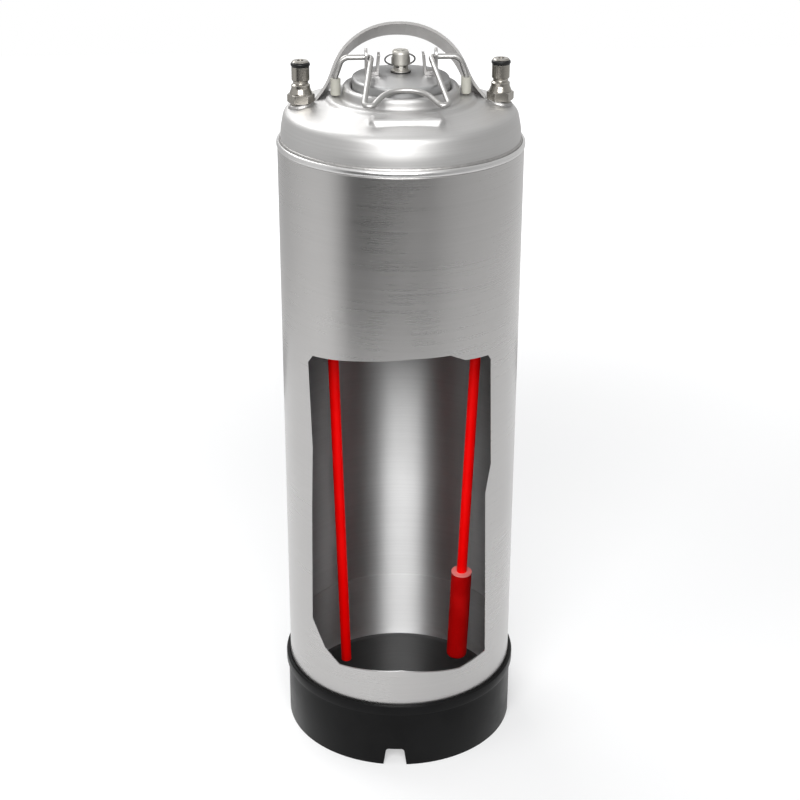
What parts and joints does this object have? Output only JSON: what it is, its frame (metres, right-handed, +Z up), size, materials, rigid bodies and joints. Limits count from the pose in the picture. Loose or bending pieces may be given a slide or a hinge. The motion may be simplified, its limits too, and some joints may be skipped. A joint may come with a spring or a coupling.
{
  "type": "carbonation keg",
  "caption": "Tall cylindrical steel keg with a clamp-down lid, quick-connect posts, strap handle, rubber boot and a front window that shows its dip tube and carbonation stone.",
  "frame": {"origin": "centre of the boot on the floor", "axes": "+Z up along the tank, +X towards the gas post, -Y towards the window"},
  "size_m": [0.224, 0.224, 0.6776],
  "materials": {
    "tank_steel": "satin stainless sheet",
    "bright_steel": "bright stainless strip and wire",
    "valve_steel": "machined stainless with a warm tint",
    "seal_rubber": "smooth black seal rubber",
    "boot_rubber": "moulded black rubber, half matt",
    "red_tube": "bright red tube",
    "stone_red": "dark red porous stone, drawn as a matt piece",
    "cap_pink": "paler red ring round the top of the stone",
    "foot_plastic": "pale grey-beige plastic caps"
  },
  "bodies": {
    "keg": {"shell": "tank_steel", "top_head": "tank_steel", "bottom_head": "tank_steel", "base_boot": "boot_rubber", "handle_strap": "bright_steel", "gas_spud": "valve_steel", "liquid_spud": "valve_steel", "gas_post": "valve_steel", "liquid_post": "valve_steel", "gas_post_seal": "seal_rubber", "liquid_post_seal": "seal_rubber", "gas_tube_seal": "seal_rubber", "liquid_tube_seal": "seal_rubber", "gas_tube": "red_tube", "liquid_tube": "red_tube", "carbonation_stone": "stone_red", "stone_cap": "cap_pink", "gas_poppet_spring": "bright_steel", "liquid_poppet_spring": "bright_steel"},
    "gas_valve": {"gas_poppet": "valve_steel", "gas_poppet_seal": "seal_rubber"},
    "liquid_valve": {"liquid_poppet": "valve_steel", "liquid_poppet_seal": "seal_rubber"},
    "lid": {"lid": "tank_steel", "lid_seal": "seal_rubber", "left_ear": "bright_steel", "right_ear": "bright_steel", "relief_bung": "tank_steel", "relief_gasket": "seal_rubber", "relief_body": "valve_steel", "relief_spring": "bright_steel"},
    "relief_plunger": {"relief_stem": "valve_steel", "relief_seal": "seal_rubber"},
    "ring": {"pull_ring": "bright_steel"},
    "clamp": {"bail_wire": "bright_steel", "left_foot": "foot_plastic", "right_foot": "foot_plastic"}
  },
  "joints": [
    {"name": "clamp_swing", "type": "hinge", "parent": "lid", "child": "clamp", "pos_m": [0, 0, 0.655], "axis": [-1, 0, 0], "range_deg": [0, 135]},
    {"name": "lid_drop", "type": "slide", "parent": "keg", "child": "lid", "axis": [0, 0, -1], "range_m": [0, 0.004]},
    {"name": "relief_pull", "type": "slide", "parent": "lid", "child": "relief_plunger", "axis": [0, 0, 1], "range_m": [0, 0.0025], "stiffness_N_per_m": 1500, "springref_m": -0.002, "deforming": ["relief_spring"]},
    {"name": "ring_swing", "type": "hinge", "parent": "relief_plunger", "child": "ring", "pos_m": [0, 0.004, 0.6575], "axis": [1, 0, 0], "range_deg": [0, 250]},
    {"name": "gas_valve_press", "type": "slide", "parent": "keg", "child": "gas_valve", "axis": [0, 0, -1], "range_m": [0, 0.0035], "stiffness_N_per_m": 1500, "springref_m": -0.002, "deforming": ["gas_poppet_spring"]},
    {"name": "liquid_valve_press", "type": "slide", "parent": "keg", "child": "liquid_valve", "axis": [0, 0, -1], "range_m": [0, 0.0035], "stiffness_N_per_m": 1500, "springref_m": -0.002, "deforming": ["liquid_poppet_spring"]}
  ],
  "couplings": [
    {"joint": "lid_drop", "follows": "clamp_swing", "m_per_rad": 0.00165}
  ]
}
